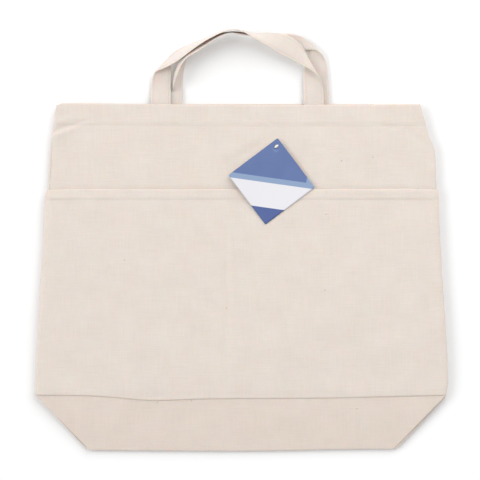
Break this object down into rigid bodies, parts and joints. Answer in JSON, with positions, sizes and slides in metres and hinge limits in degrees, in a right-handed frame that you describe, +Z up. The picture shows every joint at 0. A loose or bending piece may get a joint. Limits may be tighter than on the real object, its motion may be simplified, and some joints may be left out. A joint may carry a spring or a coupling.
{
  "type": "canvas knitting bag",
  "caption": "Flat-lying natural canvas tote for knitting, with boxed folding sides and base, wide front pocket, two strap handles and a square hang tag.",
  "frame": {"origin": "middle of the lying bag's footprint, on the surface it lies on", "axes": "+Z up from the surface, through the bag's thickness; +Y towards the handles; +X to the right seen from above"},
  "size_m": [0.514, 0.5244, 0.0331],
  "materials": {
    "canvas": "matte",
    "strap": "matte",
    "tag_card": "satin",
    "tag_pin": "gloss"
  },
  "bodies": {
    "back": {"back_panel": "canvas", "back_top_hem": "canvas", "back_base_seam": "canvas", "back_strap_end_left": "strap", "back_strap_end_right": "strap"},
    "front": {"front_panel": "canvas", "front_top_hem": "canvas", "front_base_seam": "canvas", "front_pocket": "canvas", "pocket_hem": "canvas", "front_strap_end_left": "strap", "front_strap_end_right": "strap", "tag_pin": "tag_pin"},
    "base_rear": {"base_rear": "canvas"},
    "base_front": {"base_front": "canvas"},
    "side_rear_left": {"side_rear_left": "canvas"},
    "side_rear_right": {"side_rear_right": "canvas"},
    "side_front_left": {"side_front_left": "canvas"},
    "side_front_right": {"side_front_right": "canvas"},
    "corner_rear_left": {"base_corner_rear_left": "canvas"},
    "corner_rear_right": {"base_corner_rear_right": "canvas"},
    "corner_front_left": {"base_corner_front_left": "canvas"},
    "corner_front_right": {"base_corner_front_right": "canvas"},
    "front_handle": {"front_handle": "strap"},
    "back_handle": {"back_handle": "strap"},
    "tag": {"hang_tag": "tag_card"}
  },
  "joints": [
    {"name": "bag_open", "type": "hinge", "parent": "back", "child": "base_rear", "pos_m": [0, -0.194, 0.0013], "axis": [-1, 0, 0], "range_deg": [0, 87.05]},
    {"name": "base_fold", "type": "hinge", "parent": "base_rear", "child": "base_front", "pos_m": [0, -0.26191, 0.0048], "axis": [1, 0, 0], "range_deg": [0, 174.1]},
    {"name": "front_lift", "type": "hinge", "parent": "base_front", "child": "front", "pos_m": [0, -0.194, 0.0083], "axis": [-1, 0, 0], "range_deg": [0, 87.05]},
    {"name": "side_rear_left_fold", "type": "hinge", "parent": "back", "child": "side_rear_left", "pos_m": [-0.257, -0.194, 0.0013], "axis": [-0.0591, -0.9983, 0], "range_deg": [0, 87.05]},
    {"name": "side_front_left_fold", "type": "hinge", "parent": "front", "child": "side_front_left", "pos_m": [-0.257, -0.194, 0.0083], "axis": [0.0591, 0.9983, 0], "range_deg": [0, 87.05]},
    {"name": "side_rear_right_fold", "type": "hinge", "parent": "back", "child": "side_rear_right", "pos_m": [0.257, -0.194, 0.0013], "axis": [-0.0591, 0.9983, 0], "range_deg": [0, 87.05]},
    {"name": "side_front_right_fold", "type": "hinge", "parent": "front", "child": "side_front_right", "pos_m": [0.257, -0.194, 0.0083], "axis": [0.0591, -0.9983, 0], "range_deg": [0, 87.05]},
    {"name": "corner_rear_left_fold", "type": "hinge", "parent": "base_rear", "child": "corner_rear_left", "pos_m": [-0.257, -0.194, 0.0013], "axis": [0.6859, -0.7267, 0.0375], "range_deg": [0, 180], "deforming": ["base_corner_rear_left"]},
    {"name": "corner_rear_right_fold", "type": "hinge", "parent": "base_rear", "child": "corner_rear_right", "pos_m": [0.257, -0.194, 0.0013], "axis": [0.6859, 0.7267, -0.0375], "range_deg": [0, 180], "deforming": ["base_corner_rear_right"]},
    {"name": "corner_front_left_fold", "type": "hinge", "parent": "base_front", "child": "corner_front_left", "pos_m": [-0.257, -0.194, 0.0083], "axis": [-0.6859, 0.7267, 0.0375], "range_deg": [0, 180], "deforming": ["base_corner_front_left"]},
    {"name": "corner_front_right_fold", "type": "hinge", "parent": "base_front", "child": "corner_front_right", "pos_m": [0.257, -0.194, 0.0083], "axis": [-0.6859, -0.7267, -0.0375], "range_deg": [0, 180], "deforming": ["base_corner_front_right"]},
    {"name": "front_handle_swing", "type": "hinge", "parent": "front", "child": "front_handle", "pos_m": [0, 0.1745, 0.007], "axis": [1, 0, 0], "range_deg": [0, 145]},
    {"name": "back_handle_swing", "type": "hinge", "parent": "back", "child": "back_handle", "pos_m": [0, 0.1745, 0.0026], "axis": [1, 0, 0], "range_deg": [-145, 0]},
    {"name": "tag_swing", "type": "hinge", "parent": "front", "child": "tag", "pos_m": [0.0435, 0.116, 0.0166], "axis": [0, 0, 1], "range_deg": [-60, 60]}
  ],
  "couplings": [
    {"joint": "base_fold", "follows": "bag_open", "ratio": 2},
    {"joint": "front_lift", "follows": "bag_open", "ratio": 1},
    {"joint": "side_rear_left_fold", "follows": "bag_open", "ratio": 1},
    {"joint": "side_front_left_fold", "follows": "bag_open", "ratio": 1},
    {"joint": "side_rear_right_fold", "follows": "bag_open", "ratio": 1},
    {"joint": "side_front_right_fold", "follows": "bag_open", "ratio": 1},
    {"joint": "corner_rear_left_fold", "follows": "bag_open", "ratio": 2.0563},
    {"joint": "corner_rear_right_fold", "follows": "bag_open", "ratio": 2.0563},
    {"joint": "corner_front_left_fold", "follows": "bag_open", "ratio": 2.0563},
    {"joint": "corner_front_right_fold", "follows": "bag_open", "ratio": 2.0563}
  ]
}
